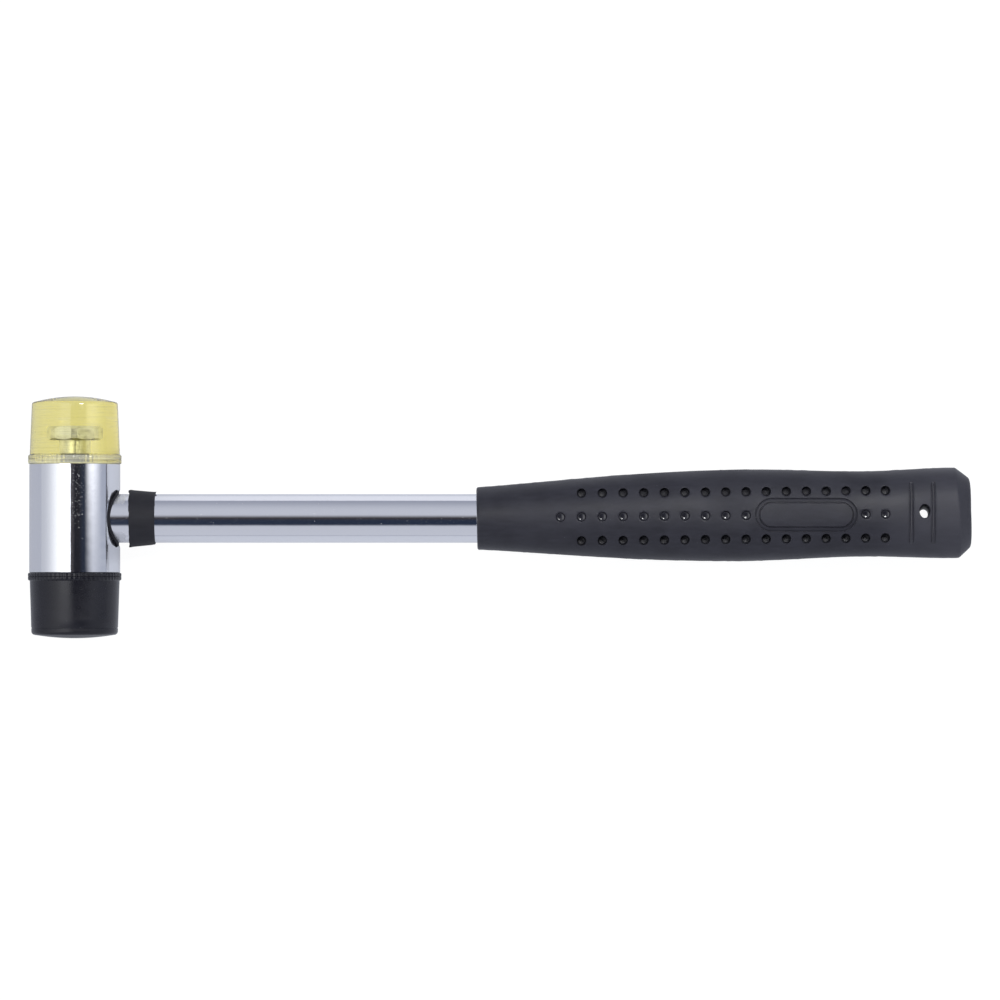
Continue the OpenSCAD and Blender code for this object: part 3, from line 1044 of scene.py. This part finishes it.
@dataclass
class Handle:
    """The chromed tube and the rubber collar beside the head."""

    head: Head
    tube_r: float = 6.7
    wall: float = 1.0
    edge: float = 0.15
    start: float = -7.95
    end: float = 227.5
    key_r: float = 3.2
    collar_at: float = 15.3
    collar_len: float = 7.0
    collar_r: float = 7.9
    collar_taper: float = 0.65
    torn_len: float = 1.2

    def build(self) -> None:
        """Makes the tube and the collar."""
        self.tube()
        self.collar()

    def tube(self) -> None:
        """Turns the tube and drills the cross hole that the bolts' tips sit in."""
        r = self.tube_r
        bore = r - self.wall
        tube = Bench.lathe("chrome_handle", [
            (bore, self.start), (r - self.edge, self.start), (r, self.start + self.edge),
            (r, self.end - self.edge), (r - self.edge, self.end), (bore, self.end),
            (bore, self.start)], 192)
        Bench.lay(tube, Lie.ALONG_HANDLE, self.head.centre)
        reach = r + 1
        drill = Bench.lathe(
            "drill", [(0, -reach), (self.key_r, -reach), (self.key_r, reach), (0, reach)], 48)
        Bench.lay(drill, Lie.TO_YELLOW, self.head.centre)
        Bench.carve(tube, drill)
        Bench.fit(tube, "handle_tube", "hammer", CHROME_TUBE, angle=25)

    def collar(self) -> None:
        """Turns the collar and tears its two edges, as it was cut by hand from a hose."""
        r = self.collar_r
        far = r - self.collar_taper
        n = self.collar_len
        bore = self.tube_r + 0.02
        line = [(bore, 0), (r - 0.5, 0), (r - 0.12, 0.02), (r, 0.16), (r - 0.01, 0.5)]
        line += [(r + (far - r) * t, n * t) for t in (0.15, 0.3, 0.5, 0.7, 0.85)]
        line += [(far, n - 0.6), (far - 0.04, n - 0.25), (far - 0.25, n - 0.04), (far - 0.6, n),
                 (bore, n), (bore, 0)]
        collar = Bench.lathe("rubber_collar", line, 160)
        Bench.push(collar, self.torn)
        Bench.lay(collar, Lie.ALONG_HANDLE, (self.head.axis_x + self.collar_at, *self.head.centre[1:]))
        Bench.fit(collar, "handle_collar", "hammer", SEAL_RUBBER, angle=40)

    def torn(self, co: Vector) -> Vector:
        """Moves a point of the collar where its edges are ragged.

        Args:
            co: The point on the smooth collar.

        Returns:
            The point on the torn one.
        """
        near = max(0.0, 1 - co.z / self.torn_len)
        far = max(0.0, 1 - (self.collar_len - co.z) / self.torn_len)
        r = co.xy.length
        if r < self.tube_r + 0.3:
            return co
        turn = math.degrees(math.atan2(co.y, co.x)) % 360
        rag = noise.noise(Vector((co.x * 0.55, co.y * 0.55, near * 3)))
        fine = noise.noise(Vector((co.x * 1.9, co.y * 1.9, 7 + far * 3)))
        z = co.z - near * (0.16 * rag + 0.10 * fine + 0.06) + far * (0.20 * rag + 0.12 * fine)
        grow = 0.0
        shreds = ((far, 100, 7, 0.8, 0.25), (near, 104, 5, -0.35, 0.12), (near, 262, 5, -0.1, 0.22),
                  (far, 150, 11, 0.3, 0.0), (near, 140, 9, -0.2, 0.0), (far, 20, 9, 0.4, 0.1),
                  (near, 330, 8, -0.3, 0.1))
        for edge, at, width, out, up in shreds:
            spike = edge * math.exp(-((turn - at) / width) ** 2)
            z += out * spike
            grow += up * spike
        scale = (r + grow + 0.05 * rag) / r
        return Vector((co.x * scale, co.y * scale, z))


@dataclass
class Ring:
    """One section of the grip: its place, centre, half sizes and squareness."""

    s: float
    centre: float
    half_w: float
    half_t: float
    square: float = 2.0


@dataclass
class Grip:
    """The moulded rubber grip with its dimples, framed panel, ribs and hang hole."""

    head: Head
    at: float = 110.8
    length: float = 136.0
    widths: Sequence[float] = (17.2, 25.2, 23.5, 24.9)
    thicknesses: Sequence[float] = (17.3, 20.5, 19.0, 19.5)
    stations: Sequence[float] = (0.544, 0.786, 0.959)
    rises: Sequence[float] = (0.0, 1.6)
    swell_power: float = 1.15
    square: float = 2.4
    bore: float = 6.72
    bore_end: float = 116.7
    sides: int = 120
    bevel_len: float = 3.6
    bevel_drop: float = 2.9
    bevel_late: float = 0.35
    bevel_early: float = 0.8
    front_slant: float = 0.16
    front_reach: float = 8.65
    dimple_start: float = 23.0
    dimple_pitch: float = 5.74
    dimple_closing: float = 0.023
    pattern_drop: float = 0.35
    dimple_row: float = 6.5
    columns: int = 17
    panel_column: int = 12
    panel_len: float = 28.2
    panel_w: float = 9.3
    groove: float = 1.45
    groove_depth: float = 0.4
    hang_from_end: float = 13.2
    hang_rise: float = 1.9
    hang_r: float = 1.6
    hang_oval: Sequence[float] = (0.90, 1.18)
    hang_narrow: Sequence[float] = (0.14, 0.34)
    hang_lean: Sequence[float] = (0.9, -0.7)
    rib_pitch: float = 6.0
    rib_shift: float = 0.6
    rib_len: float = 17.0
    rib_w: float = 1.0
    rib_h: float = 0.6
    rib_bed: float = 0.09
    bed_margin: float = 0.6
    dimple_depths: Sequence[float] = (3.2, 1.3, 3.2)
    crease: float = 0.2
    smooth_proud: float = 0.12
    smooth_depths: Sequence[float] = (0.5, 2.4)
    smooth_above: float = 7.2

    @property
    def origin(self) -> Vector:
        """The middle of the grip's front, on the tube's axis."""
        return Vector((self.head.axis_x + self.at, self.head.axis_y, self.head.axis_z))

    def half(self, s: float, sizes: Sequence[float]) -> float:
        """Half a size at a place along the grip.

        Args:
            s: The distance from the front.
            sizes: The whole sizes at front, swell, waist and butt.

        Returns:
            Half the size there.
        """
        front, swell, waist, butt = sizes
        swell_at, waist_at, butt_at = (share * self.length for share in self.stations)
        if s < swell_at:
            share = math.sin(math.pi / 2 * max(0.0, s) / swell_at) ** self.swell_power
            return (front + (swell - front) * share) / 2
        if s < waist_at:
            t = (s - swell_at) / (waist_at - swell_at)
            return (swell + (waist - swell) * (1 - math.cos(math.pi * t)) / 2) / 2
        t = min(1.0, (s - waist_at) / (butt_at - waist_at))
        return (waist + (butt - waist) * (1 - math.cos(math.pi * t)) / 2) / 2

    def rise(self, s: float) -> float:
        """Rise of the centre line at a place along the grip."""
        return self.rises[0] + (self.rises[1] - self.rises[0]) * s / self.length

    def pattern_rise(self, s: float) -> float:
        """Rise of the middle row of the pattern at a place along the grip."""
        return self.rise(s) - self.pattern_drop * s / self.length

    def column_at(self, i: int) -> float:
        """Place of a column of dimples along the grip."""
        return self.dimple_start + i * self.dimple_pitch - self.dimple_closing * i * (i - 1) / 2

    def squareness(self, s: float) -> float:
        """Power of the section's outline at a place along the grip."""
        return 2 + (self.square - 2) * min(1.0, s / (self.stations[0] * self.length))

    def skin(self, s: float, y: float) -> float:
        """Height of the skin above the middle plane.

        Args:
            s: The distance from the front.
            y: The distance from the tube's axis.

        Returns:
            The height.
        """
        p = self.squareness(s)
        share = min(1.0, abs(y - self.rise(s)) / self.half(s, self.widths))
        return self.half(s, self.thicknesses) * (1 - share**p) ** (1 / p)

    def ring(self, s: float, grow: float) -> Ring:
        """The section at a place along the grip, grown outwards or drawn in."""
        w = self.half(s, self.widths) + grow
        return Ring(s, self.rise(s), w, self.half(s, self.thicknesses) + grow, self.squareness(s))

    def rings(self) -> list[Ring]:
        """Lists the sections.

        Returns:
            The sections from the end of the bore to the front and on to the butt.
        """
        b = self.bore
        n = self.length
        drop = self.bevel_drop
        start = n - self.bevel_len
        found = [Ring(self.bore_end, 0, b, b), Ring(0.3, 0, b, b), Ring(0.02, 0, b + 0.25, b + 0.25)]
        found += [self.ring(s, g) for s, g in ((0.0, -0.75), (0.06, -0.36), (0.22, -0.12), (0.5, 0))]
        steps = int(start - 1.5)
        found += [self.ring(0.9 + (start - 1.5) * i / steps, 0) for i in range(steps + 1)]
        found += [self.ring(s, g) for s, g in (
            (start - 0.12, -0.01), (start + 0.08, -0.07), (start + 0.3, -0.24),
            (start + 1.5, -1.32), (start + 2.4, -2.16), (n - 0.62, -drop + 0.18),
            (n - 0.40, -drop - 0.18), (n - 0.26, -drop - 0.7), (n - 0.15, -drop - 1.5),
            (n - 0.06, -drop - 2.8), (n - 0.01, -drop - 4.6), (n, -drop - 6.2))]
        return found

    def body(self) -> Piece:
        """Extrudes the sections one from the other, then squares them and adds the mould's flash.

        Returns:
            The plain grip with its front at the origin.
        """
        rings = self.rings()
        n = self.sides
        Bench.clear()
        bpy.ops.mesh.primitive_circle_add(vertices=n, radius=rings[0].half_w * MM,
                                          rotation=(0, math.pi / 2, 0))
        body = bpy.context.active_object
        body.name = "grip_sleeve"
        body.location = (rings[0].s * MM, rings[0].centre * MM, 0)
        bpy.ops.object.transform_apply(location=True, rotation=True, scale=True)
        bpy.ops.object.mode_set(mode="EDIT")
        bpy.ops.mesh.select_all(action="SELECT")
        for last, new in zip(rings, rings[1:]):
            move = ((new.s - last.s) * MM, (new.centre - last.centre) * MM, 0)
            bpy.ops.mesh.extrude_region_move(TRANSFORM_OT_translate={"value": move})
            size = (1, new.half_w / last.half_w, new.half_t / last.half_t)
            bpy.ops.transform.resize(value=size, center_override=(new.s * MM, new.centre * MM, 0))
        bpy.ops.mesh.edge_face_add()
        bpy.ops.object.mode_set(mode="OBJECT")
        for i, vertex in enumerate(body.data.vertices):
            vertex.co = self.moulded(rings[i // n], i % n, vertex.co / MM) * MM
        Bench.pick(body, lambda co: co.x > self.bore_end - 0.01 and co.yz.length < self.bore + 0.01)
        bpy.ops.mesh.edge_face_add()
        Bench.close()
        return body

    def moulded(self, ring: Ring, index: int, co: Vector) -> Vector:
        """Gives a point of a section its squared outline and the flash along the mould's seam.

        Args:
            ring: The section.
            index: The point's number in it, from the +Y side on.
            co: The point on the plain ellipse.

        Returns:
            The finished point.
        """
        u = (co.y - ring.centre) / ring.half_w
        v = co.z / ring.half_t
        scale = (abs(u) ** ring.square + abs(v) ** ring.square) ** (-1 / ring.square)
        y = u * scale * ring.half_w
        z = v * scale * ring.half_t
        x = co.x
        if index in (0, self.sides // 2) and ring.half_w > self.bore + 1.5:
            side = 1 if index == 0 else -1
            rag = noise.noise(Vector((x * 0.9, side * 9.0, 0.3)))
            slow = noise.noise(Vector((x * 0.12, side * 5.0, 2.3)))
            y += side * max(0.0, 0.01 + 0.10 * rag + 0.07 * slow)
        if x < 2.0:
            x -= self.front_slant * (y / self.front_reach) * (1 - x / 2.0)
        start = self.length - self.bevel_len
        if x > start - 1 and y < 0:
            x += self.bevel_late * min(1.0, -y / 10)
        if x > start - 4 and y > 0:
            share = min(1.0, y / 10, 1 + (x - start) / 4, (self.length - x) / self.bevel_len)
            x -= self.bevel_early * share
        return Vector((x, y + ring.centre, z))

    def drape(self, piece: Piece, s: float, y: float, side: int, deep: float) -> None:
        """Moves a cutter onto the skin so that it follows the skin's curve.

        Args:
            piece: The cutter, round the origin, with the skin at height zero.
            s: The distance from the front.
            y: The distance from the tube's axis.
            side: One for the upper broad side, minus one for the lower.
            deep: Depth from which the cutter keeps its own shape.
        """
        middle = self.skin(s, y)

        def follow(co: Vector) -> Vector:
            """Gives a point its height on the skin.

            Args:
                co: The point on the flat cutter.

            Returns:
                The point on the draped one.
            """
            here = self.skin(s + co.x, y + co.y)
            share = min(1.0, max(0.0, 1 + (co.z + deep / 2) / (deep / 2)))
            return Vector((s + co.x, y + co.y, side * (co.z + middle + (here - middle) * share)))

        Bench.push(piece, follow)

    def dimples(self) -> list[Piece]:
        """Makes the cutters of the three rows of dimples on both broad sides.

        Returns:
            The cutters.
        """
        panel_at = self.column_at(self.panel_column)
        pins = {row: Bench.lathe("pin", [
            (0, -d), (0.35, 0.015 - d), (0.7, 0.06 - d), (0.95, 0.115 - d), (1.12, 0.25 - d),
            (1.2, 0.6 - d), (1.24, -0.4), (1.28, -0.14), (1.34, -0.03), (1.46, 0.04), (1.8, 0.12),
            (1.8, 0.8), (0, 0.8)], 28) for row, d in zip((-1, 0, 1), self.dimple_depths)}
        found = []
        for column in range(self.columns):
            s = self.column_at(column)
            on_panel = abs(s - panel_at) < self.panel_len / 2 + 1.3
            for row in (-1, 0, 1):
                left_out = on_panel if row == 0 else column == 0
                if left_out:
                    continue
                for side in (-1, 1):
                    copy = Bench.twin(pins[row])
                    self.drape(copy, s, self.pattern_rise(s) + row * self.dimple_row, side, deep=2.4)
                    found.append(copy)
        for pin in pins.values():
            bpy.data.objects.remove(pin, do_unlink=True)
        return found

    def frames(self) -> list[Piece]:
        """Makes the cutters of the groove round the panel on both broad sides.

        Returns:
            The cutters.
        """
        outer = self.panel_w / 2
        inner = outer - self.groove
        d = self.groove_depth
        ring = Bench.lathe("frame", [
            (outer + 0.10, 0.3), (outer + 0.06, 0.03), (outer - 0.02, -0.06),
            (outer - 0.05, -0.08 - d), (outer - 0.16, -0.1 - d), (outer - 0.3, -d),
            (inner + 0.42, -d), (inner + 0.26, -self.crease - d), (inner + 0.1, -self.crease - d),
            (inner + 0.02, -0.08), (inner - 0.06, 0.03), (inner - 0.10, 0.3), (outer + 0.10, 0.3)], 72)
        Bench.stretch(ring, 0, (self.panel_len - self.panel_w) / 2, cuts=30)
        s = self.column_at(self.panel_column)
        found = [ring, Bench.twin(ring)]
        for cutter, side in zip(found, (1, -1)):
            self.drape(cutter, s, self.pattern_rise(s), side, deep=2.0)
        return found

    def ribs(self, width: float, height: float) -> list[Piece]:
        """Makes the two ribs beside the hang hole on both broad sides, or the beds that they lie in.

        Args:
            width: Their width.
            height: How far they stand out of the skin, and into it.

        Returns:
            The ribs.
        """
        found = []
        for place in (-1, 1):
            s = self.length - self.hang_from_end - self.rib_shift + place * self.rib_pitch / 2
            for side in (-1, 1):
                Bench.clear()
                bpy.ops.mesh.primitive_uv_sphere_add(
                    segments=24, ring_count=16, radius=width / 2 * MM)
                rib = bpy.context.active_object
                Bench.push(rib, lambda co: Vector((co.x, co.y, co.z * 2 * height / width)))
                Bench.stretch(rib, 1, (self.rib_len - width) / 2, cuts=30)
                self.drape(rib, s, self.rise(s), side, deep=4.0)
                found.append(rib)
        return found

    def hang_hole(self) -> Piece:
        """Makes the cutter of the hang hole.

        Returns:
            The cutter.
        """
        s = self.length - self.hang_from_end
        top = self.skin(s, self.hang_rise)
        r = self.hang_r
        half = [(r, top - 0.35), (r + 0.06, top - 0.12), (r + 0.22, top + 0.04), (r + 0.22, top + 1)]
        outline = [(0, -top - 1), *[(x, -z) for x, z in half[::-1]], *half, (0, top + 1)]
        pin = Bench.lathe("pin", outline, 40)

        def bent(co: Vector) -> Vector:
            """Makes the hole oval at its upper mouth and lets it lean and narrow downwards.

            Args:
                co: The point on the round cutter.

            Returns:
                The point on the oval one.
            """
            down = min(1.0, max(0.0, (top - co.z) / (2 * top)))
            x, y = (old * (wide - narrow * down) + lean * down for old, wide, narrow, lean in zip(
                co.xy, self.hang_oval, self.hang_narrow, self.hang_lean))
            return Vector((s + x, self.hang_rise + y, co.z))

        Bench.push(pin, bent)
        return pin

    def build(self) -> None:
        """Makes the grip and drops the loose chips that the carving leaves."""
        grip = self.body()
        Bench.carve(grip, Bench.gather("beds", self.ribs(self.rib_w + self.bed_margin, self.rib_bed)))
        Bench.carve(grip, Bench.gather("ribs", self.ribs(self.rib_w, self.rib_h)), Cut.JOIN)
        cutters = [*self.dimples(), *self.frames(), self.hang_hole()]
        Bench.carve(grip, Bench.gather("cutters", cutters))
        Bench.pick(grip, lambda co: co.x < 1.0)
        bpy.ops.mesh.select_linked()
        bpy.ops.mesh.select_all(action="INVERT")
        bpy.ops.mesh.delete(type="VERT")
        bpy.ops.object.mode_set(mode="OBJECT")
        smooth = [i for i, face in enumerate(grip.data.polygons) if self.is_smooth(face.center / MM)]
        Bench.push(grip, lambda co: co + self.origin)
        Bench.fit(grip, "grip", "hammer", GRIP_RUBBER, angle=38)
        grip.data.materials.append(PIN_RUBBER.make())
        for i in smooth:
            grip.data.polygons[i].material_index = 1

    def is_smooth(self, co: Vector) -> bool:
        """Tells whether a point lies in a dimple of the middle row or on a rib.

        Args:
            co: The point, with the grip's front at the origin.

        Returns:
            Whether the mould left it smooth.
        """
        under = self.skin(co.x, co.y) - abs(co.z)
        if co.x > self.column_at(self.columns):
            return under < -self.smooth_proud and co.x < self.length - self.bevel_len - 1
        panel_at = self.column_at(self.panel_column)
        if abs(co.x - panel_at) < self.panel_len / 2 + 0.5:
            return False
        near = abs(co.y - self.pattern_rise(co.x)) < self.dimple_row / 2
        low, high = self.smooth_depths
        return near and low < under < high and self.smooth_above < abs(co.z)


@dataclass
class Studio:
    """Camera, bench top and soft light."""

    head: Head
    target: Sequence[float] = (0.21, 4.77, 12.85)
    distance: float = 1653.6
    tilt: float = 1.0
    lens: float = 216.0
    sensor: float = 36.0
    bench_size: float = 6000.0
    wall_left: Colour = (0.55, 0.57, 0.64)
    wall_right: Sequence[Colour] = ((0.62, 0.65, 0.72), (0.42, 0.45, 0.55))
    wall_front: Colour = (0.62, 0.64, 0.72)
    wall_back: Colour = (0.38, 0.40, 0.48)
    window: Colour = (1.25, 1.27, 1.30)
    zenith: Colour = (0.60, 0.62, 0.70)
    dusk: Colour = (0.052, 0.045, 0.048)
    night: Colour = (0.016, 0.015, 0.019)
    navy: Colour = (0.024, 0.034, 0.062)

    def build(self) -> None:
        """Sets up all that isn't the hammer."""
        bpy.context.scene.view_settings.view_transform = "Standard"
        self.camera()
        self.dome()
        self.lamp("left_box", at=(-376.0, 0.0, 872.0), size=(574.0, 760.0), glow=1.6,
                  fades=((0.45, 0.03), (0.1, 0.1)))
        self.lamp("right_box", at=(473.0, 68.0, 369.0), size=(560.0, 180.0), glow=2.05,
                  fades=((0.32, 0.6), (0.7, 0.2)))
        self.lamp("key_box", at=(277.0, 220.0, 690.0), size=(160.0, 160.0), glow=40.0,
                  fades=((0.2, 0.2), (0.2, 0.2)))
        self.bench_top()

    def camera(self) -> None:
        """Puts the camera above the hammer, at the angle of the photograph."""
        bpy.ops.object.camera_add()
        camera = bpy.context.active_object
        camera.name = "camera"
        tilt = math.radians(self.tilt)
        back = Vector((0, -math.sin(tilt), math.cos(tilt)))
        camera.location = (Vector(self.target) + back * self.distance) * MM
        camera.rotation_euler = (tilt, 0, 0)
        camera.data.sensor_width = self.sensor
        camera.data.lens = self.lens
        camera.data.clip_start = 0.01
        bpy.context.scene.camera = camera

    def lamp(self, name: str, at: Sequence[float], size: Sequence[float], glow: float,
             fades: Sequence[Sequence[float]]) -> None:
        """Hangs a soft box over the head, level along the head and tipped towards it across.

        Args:
            name: Its name.
            at: Its place from the middle of the hammer's head.
            size: Its width across the head and its length along it.
            glow: Its radiance.
            fades: Shares of its width, then of its length, over which the two edges fade.
        """
        bpy.ops.object.light_add(type="AREA")
        lamp = bpy.context.active_object
        lamp.name = name
        lamp.location = (Vector(at) + Vector(self.head.centre)) * MM
        lamp.rotation_euler = (0, math.atan2(at[0], at[2]), 0)
        lamp.visible_camera = False
        light = lamp.data
        light.shape = "RECTANGLE"
        light.size = size[0] * MM
        light.size_y = size[1] * MM
        light.energy = glow * math.pi * size[0] * size[1] * MM * MM
        light.use_nodes = True
        graph = Graph(light.node_tree)
        spot = graph.add("ShaderNodeNewGeometry", output="Parametric")
        glow_here = 1.0
        for axis, (low, high) in zip("XY", fades):
            share = graph.axis(spot, axis)
            glow_here = glow_here * graph.step(share, 0, low) * graph.step(share, 1, 1 - high)
        shine = graph.add("ShaderNodeEmission", {"Strength": glow_here})
        graph.add("ShaderNodeOutputLight", {"Surface": shine})

    def dome(self) -> None:
        """Paints the room by direction: pale walls, a dark patch overhead, white for the view."""
        world = bpy.data.worlds.new("room")
        bpy.context.scene.world = world
        world.use_nodes = True
        graph = Graph(world.node_tree)
        way = graph.add("ShaderNodeTexCoord", output="Generated")
        dx, dy, dz = (graph.axis(way, axis) for axis in "XYZ")
        ax = graph.maths("ARCTAN2", dx, dz) * (180 / math.pi)
        ay = graph.maths("ARCTAN2", dy, dz) * (180 / math.pi)
        right = graph.blend(graph.step(dy, -0.02, 0.02), *self.wall_right)
        side = graph.blend(graph.step(dx, -0.9, 0.9), self.wall_left, right)
        front = graph.blend(graph.step(dy, -0.9, 0.9), self.wall_front, self.wall_back)
        walls = graph.blend(graph.step(abs(dx), 0.3, 0.9), front, side)
        room = graph.blend(graph.step(dz, 0.05, 0.85), walls, self.zenith)
        level = graph.step(abs(dy), 0.7, 0.4)
        lit = graph.step(dx, -1.08, -0.6) * graph.step(dx, -0.4, -0.6) * level
        room = graph.blend(lit, room, self.window)
        reach = graph.maths("MAXIMUM", graph.step(ay, 19.0, -1.0),
                            graph.step(ay, 26.0, 8.0) * graph.step(ax, 1.0, 4.0))
        patch = graph.step(ax, -7.5, -5.6) * graph.step(ax, 54.0, 27.0)
        patch = patch * graph.step(ay, -41.0, -28.0) * reach
        blue = graph.maths("MAXIMUM", graph.step(ay, 4.0, -14.0), 0.7 * graph.step(ax, 12.0, 26.0))
        dark = graph.blend(graph.step(ax, -1.0, 3.0), self.dusk, self.night)
        shadow = graph.blend(blue, dark, self.navy)
        studio = graph.blend(patch, room, shadow)
        low = graph.step(dz, 0.30, 0.18)
        seen = graph.maths("MAXIMUM", graph.ray("Camera"), graph.ray("Transmission") * low)
        colour = graph.blend(seen, studio, (1.0, 1.0, 1.0))
        shine = graph.add("ShaderNodeBackground", {"Color": colour, "Strength": 1.0})
        graph.add("ShaderNodeOutputWorld", {"Surface": shine})

    def bench_top(self) -> None:
        """Lays a wide pale bench top under the hammer."""
        Bench.clear()
        bpy.ops.mesh.primitive_plane_add(size=self.bench_size * MM)
        top = bpy.context.active_object
        top.name = "bench_top"
        bpy.ops.object.mode_set(mode="EDIT")
        bpy.ops.mesh.subdivide(number_cuts=8)
        bpy.ops.object.mode_set(mode="OBJECT")
        BENCH_PAPER.dress(top)


def main() -> None:
    """Builds the hammer piece by piece, then the studio."""
    logging.basicConfig(level=logging.INFO, format="%(name)s %(message)s")
    head = Head()
    head.build()
    yellow = SoftFace(
        "clear_face", FaceKind.YELLOW, head, length=18.6, rim_len=2.5, inset=0.1, draft=0.55,
        crown=1.5, edge=0.8, finish=CLEAR_YELLOW)
    black = SoftFace(
        "rubber_face", FaceKind.BLACK, head, length=18.0, rim_len=2.1, inset=0.15, draft=0.45,
        crown=0.9, edge=1.0, finish=FACE_RUBBER, bead=0.9)
    for face in (yellow, black):
        face.build()
        FaceBolt(face).build()
    Handle(head).build()
    Grip(head).build()
    Studio(head).build()


if __name__ == "__main__":
    main()
